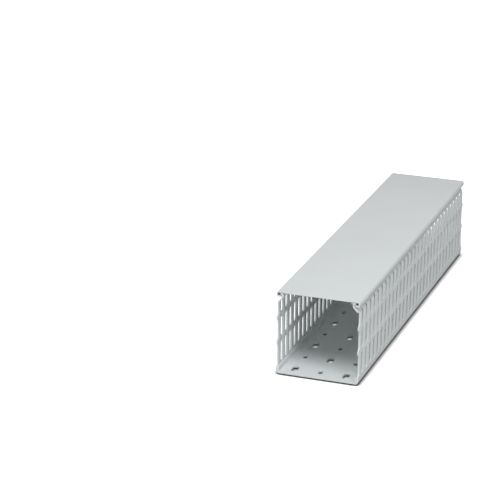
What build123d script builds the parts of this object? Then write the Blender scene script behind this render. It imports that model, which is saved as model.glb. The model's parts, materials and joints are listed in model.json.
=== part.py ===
from build123d import *
import math
import os

# Slotted wire duct: an extruded channel with punched walls and base, and a lid that clips over its rails.
# Lengths are in millimetres. X runs across the duct, Y along it and Z up from the mounting face.

# Overall size
duct_width = 80.0
duct_height = 82.0
duct_length = 375.0

# Channel section: walls and rails of one thickness, with each bend's radius on its inside
wall_thickness = 1.5
bottom_bend = 1.25
shoulder_bend = 2.25
rail_bend = 0.25
shoulder_slope = 52.0
neck_inset = 6.0
leg_height = 2.8
leg_lean = 0.5
arm_run = 0.25

# Thicker floor of the channel, which ends in a ledge inside each wall, just under the slots
base_thickness = 1.9
foot_thickness = 2.9
foot_height = 7.0
foot_round = 0.6

# Lid section, one thickness all round, with each bend's radius on its inside
lid_thickness = 1.3
lid_overhang = 0.2
lid_bend = 1.0
hook_bend = 0.5
hook_drop = 4.9
hook_tip_gap = 1.7
lid_clearance = 0.3

# Wall slots: columns along the walls, split by break-off webs. Both cut ends pass through a column.
slot_pitch = 12.5
slot_width = 6.0
slot_corner = 1.7
slot_foot = 7.3
slot_head_rise = 1.5
web_spacing = 24.0
web_height = 3.4
shortest_slot = 8.0

# Base holes: a staggered grid of large and small oblong holes
hole_pitch_across = 25.0
hole_pitch_along = 30.0
hole_columns = 3
first_hole_row = 12.0
large_hole_length = 12.0
large_hole_width = 6.0
small_hole_length = 7.0
small_hole_width = 4.0
small_hole_corner = 1.2

# Heights and places that follow from the sizes above
half_width = duct_width / 2
half_length = duct_length / 2
mid_wall = wall_thickness / 2
mid_lid = lid_thickness / 2
slope = math.radians(shoulder_slope)
leg_turn = math.pi / 2 - math.atan2(leg_lean, leg_height)
arm_height = duct_height - lid_thickness - lid_clearance - mid_wall
neck_height = arm_height - leg_height
shoulder_height = neck_height + mid_wall / math.cos(slope) - neck_inset * math.tan(slope)
slot_head = shoulder_height + slot_head_rise


def slant_height(inset, clear):
    """Height at an inset from the wall's outer face, on a line lying clear of the shoulder's slope."""
    return shoulder_height + inset * math.tan(slope) + clear / math.cos(slope)


def mirrored(right_points, right_bends):
    """Join a right-hand run of corners and its mirror image into one run of corners and bends."""
    left_points = [(-x, z) for x, z in reversed(right_points)]
    left_bends = list(reversed(right_bends))
    return left_points + right_points, left_bends + right_bends


def extrusion(points, inside_bends, thickness):
    """Give a bent centre line its thickness and extrude it along the duct."""
    radii = [bend + thickness / 2 for bend in inside_bends]
    centre_line = FilletPolyline(*points, radius=radii)
    outline = offset(centre_line, amount=thickness / 2, side=Side.BOTH)
    section = make_face(outline)
    return extrude(Plane.XZ * section, amount=half_length, both=True)


def channel_section():
    """Corners and bends of the channel's centre line, from the base up the right wall to its rail."""
    wall = half_width - mid_wall
    neck = half_width - neck_inset
    knee = neck + leg_lean
    arm_start = knee + (rail_bend + mid_wall) * math.tan(leg_turn / 2)
    corners = [
        (wall, mid_wall),
        (wall, slant_height(mid_wall, -mid_wall)),
        (neck, neck_height),
        (knee, arm_height),
        (arm_start + arm_run, arm_height),
    ]
    bends = [bottom_bend, shoulder_bend, rail_bend, rail_bend]
    return corners, bends


def thick_floor():
    """The floor that lies inside the bent sheet: a thicker base and a thick foot along each wall."""
    outer = half_width - mid_wall
    inner = half_width - foot_thickness
    right_points = [
        (inner, mid_wall),
        (outer, wall_thickness + bottom_bend),
        (outer, foot_height),
        (inner, foot_height),
        (inner, base_thickness),
    ]
    points, _ = mirrored(right_points, [])
    section = make_face(Polyline(*points, close=True))
    facing_in = section.vertices().filter_by(lambda corner: abs(corner.X) < outer - mid_wall)
    _, base_corners, ledge_corners = facing_in.group_by(Axis.Y)
    section = fillet(base_corners + ledge_corners, radius=foot_round)
    return extrude(Plane.XZ * section, amount=half_length, both=True)


def lid_section():
    """Corners and bends of the lid's centre line, from the middle to the hook under the right rail."""
    side = half_width + lid_overhang - mid_lid
    tip_inset = neck_inset - hook_tip_gap
    corners = [
        (side, duct_height - mid_lid),
        (side, duct_height - hook_drop),
        (half_width - tip_inset, slant_height(tip_inset, mid_lid + lid_clearance)),
    ]
    bends = [lid_bend, hook_bend]
    return corners, bends


def slot_steps():
    """Foot and head of each slot in a column, from the lowest up."""
    room = slot_head - shortest_slot - web_height / 2 - slot_foot
    web_centres = [slot_foot + web_spacing * (step + 1) for step in range(math.floor(room / web_spacing))]
    feet = [slot_foot] + [centre + web_height / 2 for centre in web_centres]
    heads = [centre - web_height / 2 for centre in web_centres] + [slot_head]
    return list(zip(feet, heads))


def wall_slots():
    """Cutters for every slot, each reaching through both walls."""
    column_count = math.floor((duct_length + slot_width / 2) / slot_pitch) + 1
    plane = Plane.YZ.offset(-duct_width)
    cutters = []
    for column in range(column_count):
        along = column * slot_pitch - half_length
        for foot, head in slot_steps():
            corners = Rectangle(slot_width, head - foot).vertices()
            if head == slot_head:
                corners = corners.group_by(Axis.Y)[0]
            outline = chamfer(corners, length=slot_corner)
            place = Pos(along, (foot + head) / 2)
            cutters.append(extrude(plane * place * outline, amount=2 * duct_width))
    return cutters


def base_holes():
    """Cutters for the base: large and small holes change places from row to row."""
    last_row = duct_length - first_hole_row
    row_count = math.floor((last_row - first_hole_row) / hole_pitch_along) + 1
    cutters = []
    for row in range(row_count):
        along = first_hole_row + row * hole_pitch_along - half_length
        for column in range(hole_columns):
            across = (column - (hole_columns - 1) / 2) * hole_pitch_across
            if (row + column) % 2 == 0:
                outline = SlotOverall(large_hole_length, large_hole_width, rotation=90)
            else:
                blank = Rectangle(small_hole_width, small_hole_length)
                outline = chamfer(blank.vertices(), length=small_hole_corner)
            place = Pos(across, along, -base_thickness)
            cutters.append(extrude(place * outline, amount=3 * base_thickness))
    return cutters


def slotted_channel():
    """The one-piece channel: base, walls and rails, with the slots and holes punched out."""
    points, bends = mirrored(*channel_section())
    blank = extrusion(points, bends, wall_thickness) + thick_floor()
    return blank - wall_slots() - base_holes()


def clip_on_lid():
    """The one-piece lid: a flat cover whose sides turn under into hooks."""
    points, bends = mirrored(*lid_section())
    return extrusion(points, bends, lid_thickness)


os.makedirs("parts", exist_ok=True)
export_step(slotted_channel(), "parts/slotted_channel.step")
export_step(clip_on_lid(), "parts/clip_on_lid.step")
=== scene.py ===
"""Looks of the slotted wire duct: its two extrusions and their plastic, floor, light and camera.

Lengths are in metres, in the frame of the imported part: X across the duct, Y along it, Z up.
"""

import json
import logging
import math
from abc import ABC, abstractmethod
from dataclasses import dataclass, field
from enum import Enum
from typing import ClassVar

import bpy
from mathutils import Matrix, Vector

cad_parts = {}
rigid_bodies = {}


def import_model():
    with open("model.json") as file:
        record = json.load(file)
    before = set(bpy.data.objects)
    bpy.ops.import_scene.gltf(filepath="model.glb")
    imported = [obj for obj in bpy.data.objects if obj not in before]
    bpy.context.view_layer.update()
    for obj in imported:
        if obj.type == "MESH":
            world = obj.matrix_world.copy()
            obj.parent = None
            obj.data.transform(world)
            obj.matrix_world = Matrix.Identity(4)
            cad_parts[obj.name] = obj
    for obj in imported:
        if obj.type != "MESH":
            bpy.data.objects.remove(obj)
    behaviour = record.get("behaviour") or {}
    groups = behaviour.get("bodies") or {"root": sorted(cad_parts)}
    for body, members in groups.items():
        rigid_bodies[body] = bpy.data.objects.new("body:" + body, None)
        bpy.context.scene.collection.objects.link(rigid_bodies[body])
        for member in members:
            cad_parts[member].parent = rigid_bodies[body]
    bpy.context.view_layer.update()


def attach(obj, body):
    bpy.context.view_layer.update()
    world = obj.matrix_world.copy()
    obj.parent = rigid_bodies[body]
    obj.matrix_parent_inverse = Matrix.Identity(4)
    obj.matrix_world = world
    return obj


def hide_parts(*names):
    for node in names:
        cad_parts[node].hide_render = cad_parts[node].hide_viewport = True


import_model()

log = logging.getLogger("wire_duct")

MM = 0.001
# Distance below which two vertices, or two places along a section, are the same.
SAME_VERTEX = 0.001 * MM
SAME_PLACE = 1e-9
# Edges that turn by more than the first are softened, and those that turn by less than the second
# are shaded smooth. The steps of the bends turn by less than both.
SOFTENED_TURN = math.radians(40.0)
SMOOTH_TURN = math.radians(32.0)
SOFT_EDGE_STEPS = 2
WHITE = (1.0, 1.0, 1.0, 1.0)


class DuctPart(Enum):
    """The duct's two extrusions, each with its CAD node, body and material slot."""

    CHANNEL = ("slotted_channel", "channel", "channel_plastic")
    LID = ("clip_on_lid", "lid", "lid_plastic")

    @property
    def node(self) -> str:
        """Name of the CAD node."""
        return self.value[0]

    @property
    def body(self) -> str:
        """Name of the body that the part moves with."""
        return self.value[1]

    @property
    def slot(self) -> str:
        """Name of the record's material slot."""
        return self.value[2]


class Stretch(Enum):
    """What lies between a row of the channel's sheet and the row after it."""

    WHOLE = "whole"
    SLOTTED = "slotted"


def pick_only(piece: bpy.types.Object) -> None:
    """Select one object and make it active."""
    bpy.ops.object.select_all(action="DESELECT")
    piece.select_set(True)
    bpy.context.view_layer.objects.active = piece


def apply_modifier(piece: bpy.types.Object, kind: str, **settings: object) -> None:
    """Add a modifier to a piece, set it and apply it.

    Args:
        piece: the object to change.
        kind: Blender's name of the modifier type.
        settings: values for the modifier's own properties.
    """
    pick_only(piece)
    bpy.ops.object.modifier_add(type=kind)
    modifier = piece.modifiers[-1]
    for name, value in settings.items():
        setattr(modifier, name, value)
    bpy.ops.object.modifier_apply(modifier=modifier.name)


def tidy_mesh(piece: bpy.types.Object, merge: float = SAME_VERTEX) -> None:
    """Merge doubled vertices and turn every face outwards.

    Args:
        piece: the object to clean.
        merge: distance below which vertices become one.
    """
    pick_only(piece)
    bpy.ops.object.mode_set(mode="EDIT")
    bpy.ops.mesh.select_all(action="SELECT")
    bpy.ops.mesh.remove_doubles(threshold=merge)
    bpy.ops.mesh.normals_make_consistent(inside=False)
    bpy.ops.object.mode_set(mode="OBJECT")


def soften_edges(piece: bpy.types.Object, width: float) -> None:
    """Round the piece's sharp edges.

    Args:
        piece: the object to change.
        width: how far from the edge the rounding starts.
    """
    apply_modifier(
        piece,
        "BEVEL",
        width=width,
        segments=SOFT_EDGE_STEPS,
        limit_method="ANGLE",
        angle_limit=SOFTENED_TURN,
        use_clamp_overlap=False,
    )


def smooth_bends(piece: bpy.types.Object) -> None:
    """Shade a piece smooth, apart from its sharp edges."""
    pick_only(piece)
    bpy.ops.object.shade_smooth_by_angle(angle=SMOOTH_TURN)


def flat_sheet(name: str, rows: int, columns: int) -> bpy.types.Object:
    """Add a grid to be laid out row by row.

    Vertex number column * rows + row is at that row and column.

    Args:
        name: name of the new object and of its mesh.
        rows: number of rows of vertices.
        columns: number of columns of vertices.

    Returns:
        The grid's object.
    """
    bpy.ops.object.select_all(action="DESELECT")
    bpy.ops.mesh.primitive_grid_add(x_subdivisions=rows - 1, y_subdivisions=columns - 1, size=1.0)
    sheet = bpy.context.active_object
    sheet.name = sheet.data.name = name
    return sheet


class BentLine:
    """The centre line of a bent section: straight runs and round bends, measured along itself."""

    def __init__(self, corners: list[tuple[float, float]], radii: list[float]) -> None:
        """Work out the straight runs and the arcs.

        Args:
            corners: places (x, z) of the line's ends and of the corners between them.
            radii: radius of the bend at each inner corner.
        """
        points = [Vector(corner) for corner in corners]
        self.bends: list[tuple[float, float]] = []
        self.runs: list[tuple[float, Vector, Vector, float]] = []
        start, along = points[0], 0.0
        for before, corner, after, radius in zip(points, points[1:], points[2:], radii):
            heading, onward = (corner - before).normalized(), (after - corner).normalized()
            turn = math.atan2(heading.x * onward.y - heading.y * onward.x, heading.dot(onward))
            setback = radius * math.tan(abs(turn) / 2)
            bend_start = corner - heading * setback
            self.runs.append((along, start, heading, 0.0))
            along += (bend_start - start).length
            self.runs.append((along, bend_start, heading, math.copysign(1 / radius, turn)))
            self.bends.append((along, along + radius * abs(turn)))
            along += radius * abs(turn)
            start = corner + onward * setback
        heading = (points[-1] - points[-2]).normalized()
        self.runs.append((along, start, heading, 0.0))
        self.length = along + (points[-1] - start).length

    def place(self, along: float) -> tuple[float, float]:
        """Place (x, z) at a distance along the line."""
        passed = [run for run in self.runs if run[0] <= along + SAME_PLACE]
        begin, start, heading, curve = passed[-1]
        step = along - begin
        if curve == 0.0:
            point = start + heading * step
            return point.x, point.y
        side = Vector((-heading.y, heading.x))
        angle = step * curve
        point = start + (heading * math.sin(angle) + side * (1 - math.cos(angle))) / curve
        return point.x, point.y

    def through_bend(self, index: int, steps: int) -> list[float]:
        """Distances along the line of even rows through one bend, its two ends included."""
        begin, end = self.bends[index]
        return [begin + (end - begin) * step / steps for step in range(steps + 1)]


@dataclass(frozen=True)
class SlotEnd:
    """The end of a slot: where its rounding starts along the section, and the rounding's radius.

    The end is half-round where that radius is half the slot's width, and flatter where it is less.
    Its way is 1 for a slot's head and -1 for its foot.
    """

    start: float
    half_width: float
    way: int
    rounding: float

    def reach(self, across: float) -> float:
        """Distance along the section of the slot's edge, at a distance from its middle line."""
        past_flat = max(across - (self.half_width - self.rounding), 0.0)
        return self.start + self.way * math.sqrt(max(self.rounding**2 - past_flat**2, 0.0))


@dataclass(frozen=True)
class Row:
    """One row of vertices of the channel's sheet.

    Where a slot end is given, the part of the row across the slot follows that end at a share of 0,
    and the straight line `rest` at a share of 1.
    """

    along: float
    end: SlotEnd | None = None
    share: float = 0.0
    rest: float = 0.0
    next_stretch: Stretch = Stretch.WHOLE

    def reach(self, across: float) -> float:
        """Distance along the section of the row's vertex, at a distance from the slot's middle."""
        if self.end is None or across >= self.end.half_width:
            return self.along
        edge = self.end.reach(across)
        return edge + (self.rest - edge) * self.share


class DuctExtrusion(ABC):
    """One extrusion of the duct, which builds its own mesh and is dressed as its part."""

    part: ClassVar[DuctPart]

    @abstractmethod
    def build(self) -> bpy.types.Object:
        """Make the detailed mesh, without a finish."""

    def dress(self, finish: bpy.types.Material) -> bpy.types.Object:
        """Build the piece, finish it, and let it stand for its CAD node and move with its body.

        Args:
            finish: the piece's material.

        Returns:
            The finished piece.
        """
        piece = self.build()
        piece.data.materials.clear()
        piece.data.materials.append(finish)
        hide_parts(self.part.node)
        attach(piece, self.part.body)
        return piece


@dataclass
class SlottedChannel(DuctExtrusion):
    """The extruded channel: base with staggered holes, walls with slots, and snap rails."""

    part: ClassVar[DuctPart] = DuctPart.CHANNEL
    width: float = 80.0 * MM
    height: float = 82.0 * MM
    length: float = 375.0 * MM
    thickness: float = 1.5 * MM
    room_for_lid: float = 1.6 * MM
    slope: float = math.radians(52.0)
    neck_inset: float = 6.0 * MM
    leg_height: float = 2.8 * MM
    leg_lean: float = 0.5 * MM
    arm_run: float = 0.85 * MM
    inside_bends: tuple[float, ...] = (1.25 * MM, 2.25 * MM, 0.25 * MM, 0.25 * MM)
    bottom_steps: int = 5
    rail_steps: int = 4
    base_thickness: float = 1.9 * MM
    foot_thickness: float = 2.9 * MM
    foot_height: float = 7.0 * MM
    foot_round: float = 0.6 * MM
    foot_steps: int = 4
    floor_setback: float = 0.02 * MM
    slot_pitch: float = 12.5 * MM
    slot_radius: float = 3.0 * MM
    slot_foot: float = 7.3 * MM
    slot_head_rise: float = 1.5 * MM
    head_rounding: float = 2.9 * MM
    shoulder_steps: int = 5
    web_count: int = 2
    web_spacing: float = 24.0 * MM
    web_height: float = 3.4 * MM
    arc_steps: int = 5
    fan_rows: int = 6
    fan_depth: float = 1.6 * MM
    row_gap: float = 0.1 * MM
    edge_softness: float = 0.16 * MM
    widest_sliver: float = 0.004 * MM
    hole_pitch_across: float = 25.0 * MM
    hole_pitch_along: float = 30.0 * MM
    first_hole_row: float = 12.0 * MM
    hole_rows: int = 12
    hole_columns: int = 3
    large_hole: tuple[float, float] = (12.0 * MM, 6.0 * MM)
    small_hole: tuple[float, float] = (7.0 * MM, 4.0 * MM)
    hole_sides: int = 32
    rim_softness: float = 0.2 * MM
    cutter_reach: float = 1.0 * MM
    line: BentLine = field(init=False)
    shoulder: float = field(init=False)

    def __post_init__(self) -> None:
        """Work out the section's centre line from the sizes."""
        mid = self.thickness / 2
        half = self.width / 2
        arm = self.height - self.room_for_lid - mid
        neck = arm - self.leg_height
        self.shoulder = neck + mid / math.cos(self.slope) - self.neck_inset * math.tan(self.slope)
        shoulder_corner = self.shoulder + mid * math.tan(self.slope) - mid / math.cos(self.slope)
        knee = half - self.neck_inset + self.leg_lean
        leg_turn = math.pi / 2 - math.atan2(self.leg_lean, self.leg_height)
        arm_start = knee + (self.inside_bends[3] + mid) * math.tan(leg_turn / 2)
        corners = [
            (0.0, mid),
            (half - mid, mid),
            (half - mid, shoulder_corner),
            (half - self.neck_inset, neck),
            (knee, arm),
            (arm_start + self.arm_run, arm),
        ]
        self.line = BentLine(corners, [bend + mid for bend in self.inside_bends])

    def along_at(self, height: float) -> float:
        """Distance along the section at a height on the wall or on the shoulder's slope."""
        wall_foot = self.line.bends[0][1]
        slope_foot = self.line.bends[1][1]
        slope_foot_height = self.line.place(slope_foot)[1]
        if height > slope_foot_height:
            return slope_foot + (height - slope_foot_height) / math.sin(self.slope)
        return wall_foot + height - self.line.place(wall_foot)[1]

    def columns(self) -> list[float]:
        """Places along the duct of one pitch's columns, from one slot's middle to the next."""
        quarter = [
            self.slot_radius * math.sin(math.pi / 2 * step / self.arc_steps)
            for step in range(self.arc_steps + 1)
        ]
        return quarter + [self.slot_pitch - place for place in reversed(quarter)]

    def rows(self) -> list[Row]:
        """Rows of the sheet, from the middle of the base up to the rail's tip."""
        line, radius = self.line, self.slot_radius
        listed = [Row(0.0)] + [Row(along) for along in line.through_bend(0, self.bottom_steps)]
        webs = [self.slot_foot + self.web_spacing * (step + 1) for step in range(self.web_count)]
        feet = [self.slot_foot] + [web + self.web_height / 2 for web in webs]
        heads = [web - self.web_height / 2 for web in webs]
        lows = [SlotEnd(self.along_at(foot) + radius, radius, -1, radius) for foot in feet]
        highs = [SlotEnd(self.along_at(head) - radius, radius, 1, radius) for head in heads]
        for low, high in zip(lows, highs):
            listed.append(Row(low.start, low, next_stretch=Stretch.SLOTTED))
            listed.append(Row(high.start, high))
        listed.append(Row(lows[-1].start, lows[-1], next_stretch=Stretch.SLOTTED))
        fan = self.fan(self.along_at(self.shoulder + self.slot_head_rise))
        below_fan = fan[0].along - self.row_gap
        for along in line.through_bend(1, self.shoulder_steps):
            if along < below_fan:
                listed.append(Row(along, next_stretch=Stretch.SLOTTED))
        listed += fan
        for bend in (2, 3):
            listed += [Row(along) for along in line.through_bend(bend, self.rail_steps)]
        return listed + [Row(line.length)]

    def fan(self, head: float) -> list[Row]:
        """Rows over the shoulder that turn from the head of the top slot into a straight row.

        Args:
            head: distance along the section of the slot's highest point.

        Returns:
            The rows, from the slot's head up.
        """
        end = SlotEnd(head - self.head_rounding, self.slot_radius, 1, self.head_rounding)
        rest = head + self.fan_depth
        shares = [step / self.fan_rows for step in range(self.fan_rows + 1)]
        return [Row(end.start + (rest - end.start) * share, end, share, rest) for share in shares]

    def one_pitch(self) -> bpy.types.Object:
        """One pitch of the right-hand half of the channel, as a sheet without thickness."""
        rows, columns = self.rows(), self.columns()
        sheet = flat_sheet("channel_shell", len(rows), len(columns))
        for vertex in sheet.data.vertices:
            row, column = rows[vertex.index % len(rows)], columns[vertex.index // len(rows)]
            across = min(column, self.slot_pitch - column)
            x, z = self.line.place(row.reach(across))
            vertex.co = (x, column - self.length / 2, z)
        bpy.ops.object.mode_set(mode="EDIT")
        bpy.ops.mesh.select_mode(type="FACE")
        bpy.ops.mesh.select_all(action="DESELECT")
        bpy.ops.object.mode_set(mode="OBJECT")
        last_cell = len(columns) - 2
        for face in sheet.data.polygons:
            corner = min(face.vertices)
            row, column = rows[corner % len(rows)], corner // len(rows)
            over_slot = min(column, last_cell - column) < self.arc_steps
            face.select = row.next_stretch is Stretch.SLOTTED and over_slot
        bpy.ops.object.mode_set(mode="EDIT")
        bpy.ops.mesh.delete(type="FACE")
        bpy.ops.object.mode_set(mode="OBJECT")
        return sheet

    def build(self) -> bpy.types.Object:
        """The whole channel: one pitch, mirrored, repeated, thickened, softened and drilled."""
        shell = self.one_pitch()
        apply_modifier(shell, "MIRROR", use_axis=(True, False, False), merge_threshold=SAME_VERTEX)
        apply_modifier(
            shell,
            "ARRAY",
            count=round(self.length / self.slot_pitch),
            use_relative_offset=False,
            use_constant_offset=True,
            constant_offset_displace=(0.0, self.slot_pitch, 0.0),
            use_merge_vertices=True,
            merge_threshold=SAME_VERTEX,
        )
        tidy_mesh(shell)
        apply_modifier(
            shell, "SOLIDIFY", thickness=self.thickness, offset=0.0, use_even_offset=True
        )
        soften_edges(shell, self.edge_softness)
        for operation, tool in (("UNION", self.thick_floor()), ("DIFFERENCE", self.hole_cutters())):
            apply_modifier(shell, "BOOLEAN", operation=operation, object=tool, solver="MANIFOLD")
            bpy.data.objects.remove(tool)
        tidy_mesh(shell, self.widest_sliver)
        smooth_bends(shell)
        return shell

    def thick_floor(self) -> bpy.types.Object:
        """The thicker floor inside the sheet, with a ledge along each wall, under the slots."""
        mid, half = self.thickness / 2, self.width / 2
        inner = half - self.foot_thickness
        corners = [
            (half - mid, self.thickness + self.inside_bends[0]),
            (half - mid, self.foot_height),
            (inner, self.foot_height),
            (inner, self.base_thickness),
            (0.0, self.base_thickness),
        ]
        line = BentLine(corners, [mid / 2, self.foot_round, self.foot_round])
        rows = [0.0]
        for bend, steps in enumerate((1, self.foot_steps, self.foot_steps)):
            rows += line.through_bend(bend, steps)
        right = [(inner, mid)] + [line.place(row) for row in rows]
        outline = right + [(-x, z) for x, z in reversed(right)]
        length = self.length - 2 * self.floor_setback
        bpy.ops.object.select_all(action="DESELECT")
        bpy.ops.mesh.primitive_circle_add(vertices=len(outline), radius=half, fill_type="NGON")
        floor = bpy.context.active_object
        for vertex, (x, z) in zip(floor.data.vertices, outline):
            vertex.co = (x, -length / 2, z)
        bpy.ops.object.mode_set(mode="EDIT")
        bpy.ops.mesh.extrude_region_move(TRANSFORM_OT_translate={"value": (0.0, length, 0.0)})
        bpy.ops.object.mode_set(mode="OBJECT")
        tidy_mesh(floor)
        soften_edges(floor, self.edge_softness)
        return floor

    def hole_cutters(self) -> bpy.types.Object:
        """Every base hole's cutter in one object."""
        large, small = self.one_cutter(*self.large_hole), self.one_cutter(*self.small_hole)
        cutters = []
        for row in range(self.hole_rows):
            along = self.first_hole_row + row * self.hole_pitch_along - self.length / 2
            for column in range(self.hole_columns):
                across = (column - (self.hole_columns - 1) / 2) * self.hole_pitch_across
                kind = large if (row + column) % 2 == 0 else small
                copy = kind.copy()
                copy.data = kind.data.copy()
                copy.data.transform(Matrix.Translation((across, along, 0.0)))
                bpy.context.scene.collection.objects.link(copy)
                cutters.append(copy)
        bpy.data.objects.remove(large)
        bpy.data.objects.remove(small)
        pick_only(cutters[0])
        for cutter in cutters:
            cutter.select_set(True)
        bpy.ops.object.join()
        return bpy.context.active_object

    def one_cutter(self, length: float, width: float) -> bpy.types.Object:
        """An oblong cutter at the origin, standing through the base and flared to soften the rims.

        Args:
            length: size of the hole along the duct.
            width: size of the hole across the duct.

        Returns:
            The cutter's object.
        """
        flare, reach = self.rim_softness, self.cutter_reach
        levels = [
            (-reach, flare + reach),
            (0.0, flare),
            (flare, 0.0),
            (self.base_thickness - flare, 0.0),
            (self.base_thickness, flare),
            (self.base_thickness + reach, flare + reach),
        ]
        bpy.ops.object.select_all(action="DESELECT")
        bpy.ops.mesh.primitive_circle_add(
            vertices=self.hole_sides, radius=width / 2, fill_type="NGON"
        )
        cutter = bpy.context.active_object
        stretch = (length - width) / 2
        bpy.ops.object.mode_set(mode="EDIT")
        for _ in levels[1:]:
            bpy.ops.mesh.extrude_region_move(TRANSFORM_OT_translate={"value": (0.0, 0.0, reach)})
        bpy.ops.object.mode_set(mode="OBJECT")
        for vertex in cutter.data.vertices:
            height, grow = levels[round(vertex.co.z / reach)]
            flat = Vector((vertex.co.x, vertex.co.y))
            flat *= (width / 2 + grow) / flat.length
            side = math.copysign(stretch, flat.y) if abs(flat.y) > SAME_VERTEX else 0.0
            vertex.co = (flat.x, flat.y + side, height)
        tidy_mesh(cutter)
        return cutter


@dataclass
class ClipOnLid(DuctExtrusion):
    """The extruded lid: a flat cover whose rounded sides turn under into hooks."""

    part: ClassVar[DuctPart] = DuctPart.LID
    width: float = 80.4 * MM
    top: float = 82.0 * MM
    length: float = 375.0 * MM
    thickness: float = 1.3 * MM
    inside_bends: tuple[float, ...] = (1.0 * MM, 0.5 * MM)
    hook_drop: float = 4.9 * MM
    hook_tip: tuple[float, float] = (35.2 * MM, 77.48 * MM)
    bend_steps: tuple[int, ...] = (6, 5)
    edge_softness: float = 0.22 * MM

    def build(self) -> bpy.types.Object:
        """The whole lid, as half a sheet that is bent, mirrored, thickened and softened."""
        mid = self.thickness / 2
        side = self.width / 2 - mid
        corners = [
            (0.0, self.top - mid),
            (side, self.top - mid),
            (side, self.top - self.hook_drop),
            self.hook_tip,
        ]
        line = BentLine(corners, [bend + mid for bend in self.inside_bends])
        rows = [0.0]
        for bend, steps in enumerate(self.bend_steps):
            rows += line.through_bend(bend, steps)
        rows.append(line.length)
        sheet = flat_sheet("lid_shell", len(rows), 2)
        for vertex in sheet.data.vertices:
            x, z = line.place(rows[vertex.index % len(rows)])
            end = -1 if vertex.index < len(rows) else 1
            vertex.co = (x, end * self.length / 2, z)
        apply_modifier(sheet, "MIRROR", use_axis=(True, False, False), merge_threshold=SAME_VERTEX)
        tidy_mesh(sheet)
        apply_modifier(
            sheet, "SOLIDIFY", thickness=self.thickness, offset=0.0, use_even_offset=True
        )
        soften_edges(sheet, self.edge_softness)
        smooth_bends(sheet)
        return sheet


class NodeSheet:
    """Adds nodes to one node tree and joins their sockets."""

    def __init__(self, tree: bpy.types.NodeTree) -> None:
        """Take the tree to work on."""
        self.tree = tree

    def add(self, kind: str, **settings: object) -> bpy.types.Node:
        """Add a node of a type and set its own properties."""
        node = self.tree.nodes.new(kind)
        for name, value in settings.items():
            setattr(node, name, value)
        return node

    def join(self, source: bpy.types.NodeSocket, target: bpy.types.NodeSocket) -> None:
        """Lead one socket into another."""
        self.tree.links.new(source, target)

    def number(self, operation: str, first: object, second: object) -> bpy.types.NodeSocket:
        """Work out a number from two others, each a socket or a plain value."""
        node = self.add("ShaderNodeMath", operation=operation)
        for socket, value in zip(node.inputs, (first, second)):
            if isinstance(value, bpy.types.NodeSocket):
                self.join(value, socket)
            else:
                socket.default_value = value
        return node.outputs[0]


def new_group(name: str, inputs: dict[str, str], outputs: dict[str, str]) -> tuple:
    """Start a shader node group with named sockets.

    Args:
        name: name of the group.
        inputs: name and socket type of each input.
        outputs: name and socket type of each output.

    Returns:
        The group, a NodeSheet on it, its input node and its output node.
    """
    group = bpy.data.node_groups.new(name, "ShaderNodeTree")
    for label, kind in inputs.items():
        group.interface.new_socket(label, in_out="INPUT", socket_type=kind)
    for label, kind in outputs.items():
        group.interface.new_socket(label, in_out="OUTPUT", socket_type=kind)
    sheet = NodeSheet(group)
    return group, sheet, sheet.add("NodeGroupInput"), sheet.add("NodeGroupOutput")


def die_lines_group() -> bpy.types.NodeTree:
    """Faint straight lines that the extrusion die leaves along the duct, uneven in depth."""
    group, sheet, given, result = new_group(
        "die_lines",
        {"Place": "NodeSocketVector", "Lines per Metre": "NodeSocketFloat"},
        {"Height": "NodeSocketFloat"},
    )
    changes_along = 1.2
    stretch = sheet.add("ShaderNodeCombineXYZ")
    stretch.inputs["Y"].default_value = changes_along
    sheet.join(given.outputs["Lines per Metre"], stretch.inputs["X"])
    sheet.join(given.outputs["Lines per Metre"], stretch.inputs["Z"])
    scaled = sheet.add("ShaderNodeVectorMath", operation="MULTIPLY")
    sheet.join(given.outputs["Place"], scaled.inputs[0])
    sheet.join(stretch.outputs["Vector"], scaled.inputs[1])
    noise = sheet.add("ShaderNodeTexNoise")
    noise.inputs["Scale"].default_value = 1.0
    noise.inputs["Detail"].default_value = 3.0
    noise.inputs["Roughness"].default_value = 0.6
    sheet.join(scaled.outputs["Vector"], noise.inputs["Vector"])
    sheet.join(noise.outputs["Fac"], result.inputs["Height"])
    return group


def matt_grain_group() -> bpy.types.NodeTree:
    """Fine even grain of matt plastic, as a height."""
    group, sheet, given, result = new_group(
        "matt_grain",
        {"Place": "NodeSocketVector", "Grains per Metre": "NodeSocketFloat"},
        {"Height": "NodeSocketFloat"},
    )
    noise = sheet.add("ShaderNodeTexNoise")
    noise.inputs["Detail"].default_value = 2.0
    sheet.join(given.outputs["Place"], noise.inputs["Vector"])
    sheet.join(given.outputs["Grains per Metre"], noise.inputs["Scale"])
    sheet.join(noise.outputs["Fac"], result.inputs["Height"])
    return group


def tone_drift_group() -> bpy.types.NodeTree:
    """Soft wide drift of tone over a piece, as a mask from 0 to 1."""
    group, sheet, given, result = new_group(
        "tone_drift",
        {"Place": "NodeSocketVector", "Patches per Metre": "NodeSocketFloat"},
        {"Mask": "NodeSocketFloat"},
    )
    noise = sheet.add("ShaderNodeTexNoise")
    noise.inputs["Detail"].default_value = 4.0
    noise.inputs["Roughness"].default_value = 0.55
    sheet.join(given.outputs["Place"], noise.inputs["Vector"])
    sheet.join(given.outputs["Patches per Metre"], noise.inputs["Scale"])
    spread = sheet.add("ShaderNodeMapRange")
    spread.inputs["From Min"].default_value = 0.3
    spread.inputs["From Max"].default_value = 0.7
    sheet.join(noise.outputs["Fac"], spread.inputs["Value"])
    sheet.join(spread.outputs["Result"], result.inputs["Mask"])
    return group


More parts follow.
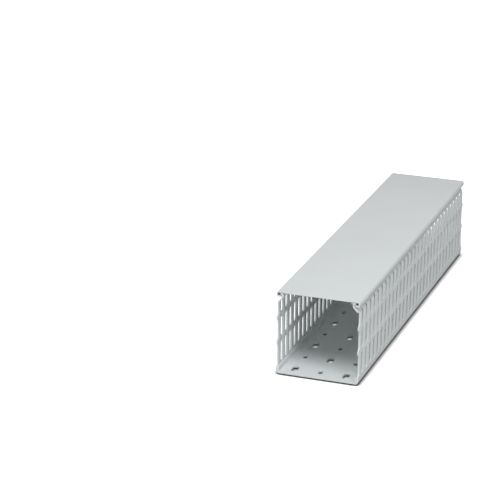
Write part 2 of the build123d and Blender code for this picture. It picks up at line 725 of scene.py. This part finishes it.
def cut_faces_group() -> bpy.types.NodeTree:
    """Mask of the faces across the extrusion: the cut ends and the punched sides of the slots."""
    group, sheet, given, result = new_group(
        "cut_faces", {"Facing": "NodeSocketVector"}, {"Mask": "NodeSocketFloat"}
    )
    split = sheet.add("ShaderNodeSeparateXYZ")
    sheet.join(given.outputs["Facing"], split.inputs["Vector"])
    size = sheet.add("ShaderNodeMath", operation="ABSOLUTE")
    sheet.join(split.outputs["Y"], size.inputs[0])
    mask = sheet.add("ShaderNodeMapRange")
    mask.inputs["From Min"].default_value = 0.35
    mask.inputs["From Max"].default_value = 0.8
    sheet.join(size.outputs[0], mask.inputs["Value"])
    sheet.join(mask.outputs["Result"], result.inputs["Mask"])
    return group


@dataclass(frozen=True)
class PalePlastic:
    """Matt light grey extruded plastic, with die lines, grain and paler cut faces."""

    name: str
    tone: tuple[float, float, float]
    deep_tone: tuple[float, float, float]
    cut_tone: tuple[float, float, float]
    roughness: float = 0.6
    cut_roughness: float = 0.7
    ior: float = 1.48
    bump_strength: float = 0.6
    lines_per_metre: float = 420.0
    line_depth: float = 0.03 * MM
    grains_per_metre: float = 2600.0
    grain_depth: float = 0.01 * MM
    patches_per_metre: float = 16.0

    def material(self, groups: dict[str, bpy.types.NodeTree]) -> bpy.types.Material:
        """Make the finish as a material.

        Args:
            groups: the shared node groups, by name.

        Returns:
            The material.
        """
        made = bpy.data.materials.new(self.name)
        made.use_nodes = True
        made.node_tree.nodes.clear()
        sheet = NodeSheet(made.node_tree)
        output = sheet.add("ShaderNodeOutputMaterial")
        plastic = sheet.add("ShaderNodeBsdfPrincipled")
        plastic.inputs["IOR"].default_value = self.ior
        sheet.join(plastic.outputs["BSDF"], output.inputs["Surface"])
        place = sheet.add("ShaderNodeTexCoord")
        measures = {
            "die_lines": ("Lines per Metre", self.lines_per_metre),
            "matt_grain": ("Grains per Metre", self.grains_per_metre),
            "tone_drift": ("Patches per Metre", self.patches_per_metre),
        }
        placed = {}
        for name, (measure, amount) in measures.items():
            node = sheet.add("ShaderNodeGroup", node_tree=groups[name])
            sheet.join(place.outputs["Object"], node.inputs["Place"])
            node.inputs[measure].default_value = amount
            placed[name] = node.outputs[0]
        cut = sheet.add("ShaderNodeGroup", node_tree=groups["cut_faces"])
        sheet.join(place.outputs["Normal"], cut.inputs["Facing"])
        colour = self.add_colour(sheet, placed["tone_drift"], cut.outputs["Mask"])
        sheet.join(colour, plastic.inputs["Base Color"])
        rough = sheet.add("ShaderNodeMapRange")
        rough.inputs["To Min"].default_value = self.roughness
        rough.inputs["To Max"].default_value = self.cut_roughness
        sheet.join(cut.outputs["Mask"], rough.inputs["Value"])
        sheet.join(rough.outputs["Result"], plastic.inputs["Roughness"])
        lines = self.add_bump(sheet, placed["die_lines"], self.line_depth)
        grain = self.add_bump(sheet, placed["matt_grain"], self.grain_depth)
        sheet.join(lines.outputs["Normal"], grain.inputs["Normal"])
        sheet.join(grain.outputs["Normal"], plastic.inputs["Normal"])
        return made

    def add_colour(
        self, sheet: NodeSheet, drift: bpy.types.NodeSocket, cut: bpy.types.NodeSocket
    ) -> bpy.types.NodeSocket:
        """Add the colour: it drifts between two tones, and is paler where the plastic is cut.

        Args:
            sheet: the material's nodes.
            drift: mask of the drift between the tones.
            cut: mask of the cut faces.

        Returns:
            The colour.
        """
        tones = sheet.add("ShaderNodeMix", data_type="RGBA")
        tones.inputs["A"].default_value = (*self.deep_tone, 1.0)
        tones.inputs["B"].default_value = (*self.tone, 1.0)
        sheet.join(drift, tones.inputs["Factor"])
        colour = sheet.add("ShaderNodeMix", data_type="RGBA")
        colour.inputs["B"].default_value = (*self.cut_tone, 1.0)
        sheet.join(cut, colour.inputs["Factor"])
        sheet.join(tones.outputs["Result"], colour.inputs["A"])
        return colour.outputs["Result"]

    def add_bump(
        self, sheet: NodeSheet, height: bpy.types.NodeSocket, depth: float
    ) -> bpy.types.Node:
        """Add a Bump node that gives a height pattern a depth."""
        bump = sheet.add("ShaderNodeBump")
        bump.inputs["Strength"].default_value = self.bump_strength
        bump.inputs["Distance"].default_value = depth
        sheet.join(height, bump.inputs["Height"])
        return bump


CHANNEL_PLASTIC = PalePlastic(
    name="channel_plastic_matt",
    tone=(0.585, 0.615, 0.622),
    deep_tone=(0.560, 0.590, 0.597),
    cut_tone=(0.66, 0.685, 0.69),
)
LID_PLASTIC = PalePlastic(
    name="lid_plastic_matt",
    tone=(0.60, 0.63, 0.637),
    deep_tone=(0.58, 0.61, 0.617),
    cut_tone=(0.66, 0.685, 0.69),
    roughness=0.46,
)


def shared_groups() -> dict[str, bpy.types.NodeTree]:
    """The node groups that both plastics use, by name."""
    made = [die_lines_group(), matt_grain_group(), tone_drift_group(), cut_faces_group()]
    return {group.name: group for group in made}


@dataclass(frozen=True)
class SoftLamp:
    """A large round lamp that faces the duct."""

    name: str
    place: tuple[float, float, float]
    size: float
    power: float

    def build(self) -> None:
        """Add the lamp to the scene."""
        data = bpy.data.lights.new(self.name, "AREA")
        data.shape = "DISK"
        data.size = self.size
        data.energy = self.power
        lamp = bpy.data.objects.new(self.name, data)
        place = Vector(self.place)
        facing = (-place).to_track_quat("-Z", "Y").to_matrix().to_4x4()
        lamp.matrix_world = Matrix.Translation(place) @ facing
        bpy.context.scene.collection.objects.link(lamp)


@dataclass
class Studio:
    """White floor and surround, soft light and the camera at the photograph's angle.

    Tones are shares of the light given back, and glow and lift are added brightness; the glow is
    the backing's painted light.
    """

    camera_place: tuple[float, float, float] = (0.5382, -1.8475, 0.7692)
    yaw: float = math.radians(20.002)
    pitch: float = math.radians(20.212)
    roll: float = math.radians(0.215)
    focal_pixels: float = 2054.2
    image_pixels: float = 500.0
    sensor: float = 36.0
    clip: tuple[float, float] = (0.01, 100.0)
    sky_strength: float = 0.21
    lamps: tuple[SoftLamp, ...] = (
        SoftLamp("overhead_lamp", (0.2, -1.4, 2.7), 1.5, 64.0),
        SoftLamp("right_lamp", (2.2, -1.6, 1.9), 1.2, 27.0),
    )
    floor_size: float = 30.0
    floor_drop: float = 1.2 * MM
    floor_tone: float = 0.85
    floor_white: float = 0.98
    floor_lift: float = 0.9
    # Painted contact shadow on the floor: the ambient occlusion reach, and the power that deepens
    # it (the backing's painted shade uses the same power).
    floor_painted_shade_reach: float = 7.0 * MM
    painted_shade_power: float = 2.0
    # The backing is a sheet of painted light under the base: a painted glow, with painted shade
    # close to the base, and dark to bounced light.
    backing_size: tuple[float, float] = (66.0 * MM, 365.0 * MM)
    backing_drop: float = 1.1 * MM
    backing_painted_dark_tone: float = 0.05
    backing_painted_glow: float = 0.88
    backing_painted_shade_reach: float = 4.0 * MM

    def build(self) -> None:
        """Make the camera, the surround, the lamps, the floor and the backing."""
        self.add_camera()
        self.add_surround()
        for lamp in self.lamps:
            lamp.build()
        self.add_floor()
        self.add_painted_light_backing()

    def add_camera(self) -> None:
        """Add the camera, without shift."""
        data = bpy.data.cameras.new("photo_camera")
        data.sensor_width = self.sensor
        data.lens = self.focal_pixels / self.image_pixels * self.sensor
        data.clip_start, data.clip_end = self.clip
        camera = bpy.data.objects.new("photo_camera", data)
        turn = (
            Matrix.Rotation(self.yaw, 4, "Z")
            @ Matrix.Rotation(math.pi / 2 - self.pitch, 4, "X")
            @ Matrix.Rotation(self.roll, 4, "Z")
        )
        camera.matrix_world = Matrix.Translation(self.camera_place) @ turn
        bpy.context.scene.collection.objects.link(camera)
        bpy.context.scene.camera = camera

    def seen_directly(self, sheet: NodeSheet) -> bpy.types.NodeSocket:
        """Mask that is 1 for what the camera sees, also in a reflection or through glass."""
        path = sheet.add("ShaderNodeLightPath")
        seen = sheet.number("MAXIMUM", path.outputs["Is Camera Ray"], path.outputs["Is Glossy Ray"])
        return sheet.number("MAXIMUM", seen, path.outputs["Is Transmission Ray"])

    def add_surround(self) -> None:
        """Light the scene evenly from all sides, and show plain white behind the floor."""
        world = bpy.data.worlds.new("surround")
        world.use_nodes = True
        bpy.context.scene.world = world
        world.node_tree.nodes.clear()
        sheet = NodeSheet(world.node_tree)
        output = sheet.add("ShaderNodeOutputWorld")
        sky = sheet.add("ShaderNodeBackground")
        sky.inputs["Color"].default_value = WHITE
        lift = sheet.number("MULTIPLY", self.seen_directly(sheet), 1.0 - self.sky_strength)
        sheet.join(sheet.number("ADD", lift, self.sky_strength), sky.inputs["Strength"])
        sheet.join(sky.outputs["Background"], output.inputs["Surface"])

    def add_floor(self) -> None:
        """Add the pale floor just under the duct. It shows as white and keeps the duct's shadow
        from the lamps; near the duct its colour is also darkened by ambient occlusion, a painted
        contact shadow.
        """
        bpy.ops.object.select_all(action="DESELECT")
        bpy.ops.mesh.primitive_plane_add(
            size=self.floor_size, location=(0.0, 0.0, -self.floor_drop)
        )
        floor = bpy.context.active_object
        floor.name = "studio_floor"
        made = bpy.data.materials.new("floor_white")
        made.use_nodes = True
        made.node_tree.nodes.clear()
        sheet = NodeSheet(made.node_tree)
        output = sheet.add("ShaderNodeOutputMaterial")
        path = sheet.add("ShaderNodeLightPath")
        floor_painted_occlusion = sheet.add("ShaderNodeAmbientOcclusion")
        floor_painted_occlusion.inputs["Distance"].default_value = self.floor_painted_shade_reach
        seen_tone = self.floor_white - self.floor_tone
        whiter = sheet.number("MULTIPLY", self.seen_directly(sheet), seen_tone)
        lift = sheet.number("MULTIPLY", path.outputs["Is Camera Ray"], self.floor_lift)
        tone = sheet.number("ADD", sheet.number("ADD", whiter, self.floor_tone), lift)
        # Painted shade: the floor's colour is multiplied by ambient occlusion, a painted contact
        # shadow near the duct.
        painted_contact_shade = sheet.number("POWER", floor_painted_occlusion.outputs["AO"], self.painted_shade_power)
        shaded = sheet.number("MULTIPLY", tone, painted_contact_shade)
        grey = sheet.add("ShaderNodeCombineXYZ")
        for axis in grey.inputs:
            sheet.join(shaded, axis)
        paint = sheet.add("ShaderNodeBsdfDiffuse")
        sheet.join(grey.outputs["Vector"], paint.inputs["Color"])
        sheet.join(paint.outputs["BSDF"], output.inputs["Surface"])
        floor.data.materials.append(made)

    def add_painted_light_backing(self) -> None:
        """Add the sheet seen through the base's holes, a sheet of painted light: to the camera it
        glows, pale in the open and darkened by ambient occlusion close to the base as painted
        shade, and to bounced light it is dark, which paints shade onto the holes' walls.
        """
        bpy.ops.object.select_all(action="DESELECT")
        bpy.ops.mesh.primitive_plane_add(size=1.0, location=(0.0, 0.0, -self.backing_drop))
        backing = bpy.context.active_object
        backing.name = "backing_sheet"
        backing.data.transform(Matrix.Diagonal((*self.backing_size, 1.0, 1.0)))
        made = bpy.data.materials.new("painted_glow_and_shade_backing")
        made.use_nodes = True
        made.node_tree.nodes.clear()
        sheet = NodeSheet(made.node_tree)
        output = sheet.add("ShaderNodeOutputMaterial")
        # Painted light: the camera sees a glow darkened by ambient occlusion (painted shade), and
        # bounced light meets a dark sheet, which paints shade into the holes.
        choice = sheet.add("ShaderNodeMixShader")
        sheet.join(self.seen_directly(sheet), choice.inputs["Fac"])
        dark = sheet.add("ShaderNodeBsdfDiffuse")
        dark.inputs["Color"].default_value = (*[self.backing_painted_dark_tone] * 3, 1.0)
        sheet.join(dark.outputs["BSDF"], choice.inputs[1])
        backing_painted_occlusion = sheet.add("ShaderNodeAmbientOcclusion")
        backing_painted_occlusion.inputs["Distance"].default_value = self.backing_painted_shade_reach
        shade = sheet.number("POWER", backing_painted_occlusion.outputs["AO"], self.painted_shade_power)
        glow = sheet.add("ShaderNodeEmission")
        sheet.join(sheet.number("MULTIPLY", shade, self.backing_painted_glow), glow.inputs["Strength"])
        sheet.join(glow.outputs["Emission"], choice.inputs[2])
        sheet.join(choice.outputs["Shader"], output.inputs["Surface"])
        backing.data.materials.append(made)


def report_piece(piece: bpy.types.Object) -> None:
    """Log a piece's triangles and its size."""
    spans = list(zip(*piece.bound_box))
    size = [(max(span) - min(span)) / MM for span in spans]
    triangles = sum(len(face.vertices) - 2 for face in piece.data.polygons)
    log.info("%s: %d triangles, %.1f x %.1f x %.1f mm", piece.name, triangles, *size)


def main() -> None:
    """Build the channel, the lid and the studio, and report each piece."""
    logging.basicConfig(level=logging.INFO, format="%(name)s: %(message)s")
    for spare in [item for item in bpy.data.objects if item.name in ("Cube", "Light", "Camera")]:
        bpy.data.objects.remove(spare)
    groups = shared_groups()
    for extrusion, plastic in ((SlottedChannel(), CHANNEL_PLASTIC), (ClipOnLid(), LID_PLASTIC)):
        report_piece(extrusion.dress(plastic.material(groups)))
    Studio().build()
    bpy.context.scene.view_settings.view_transform = "Standard"


if __name__ == "__main__":
    main()
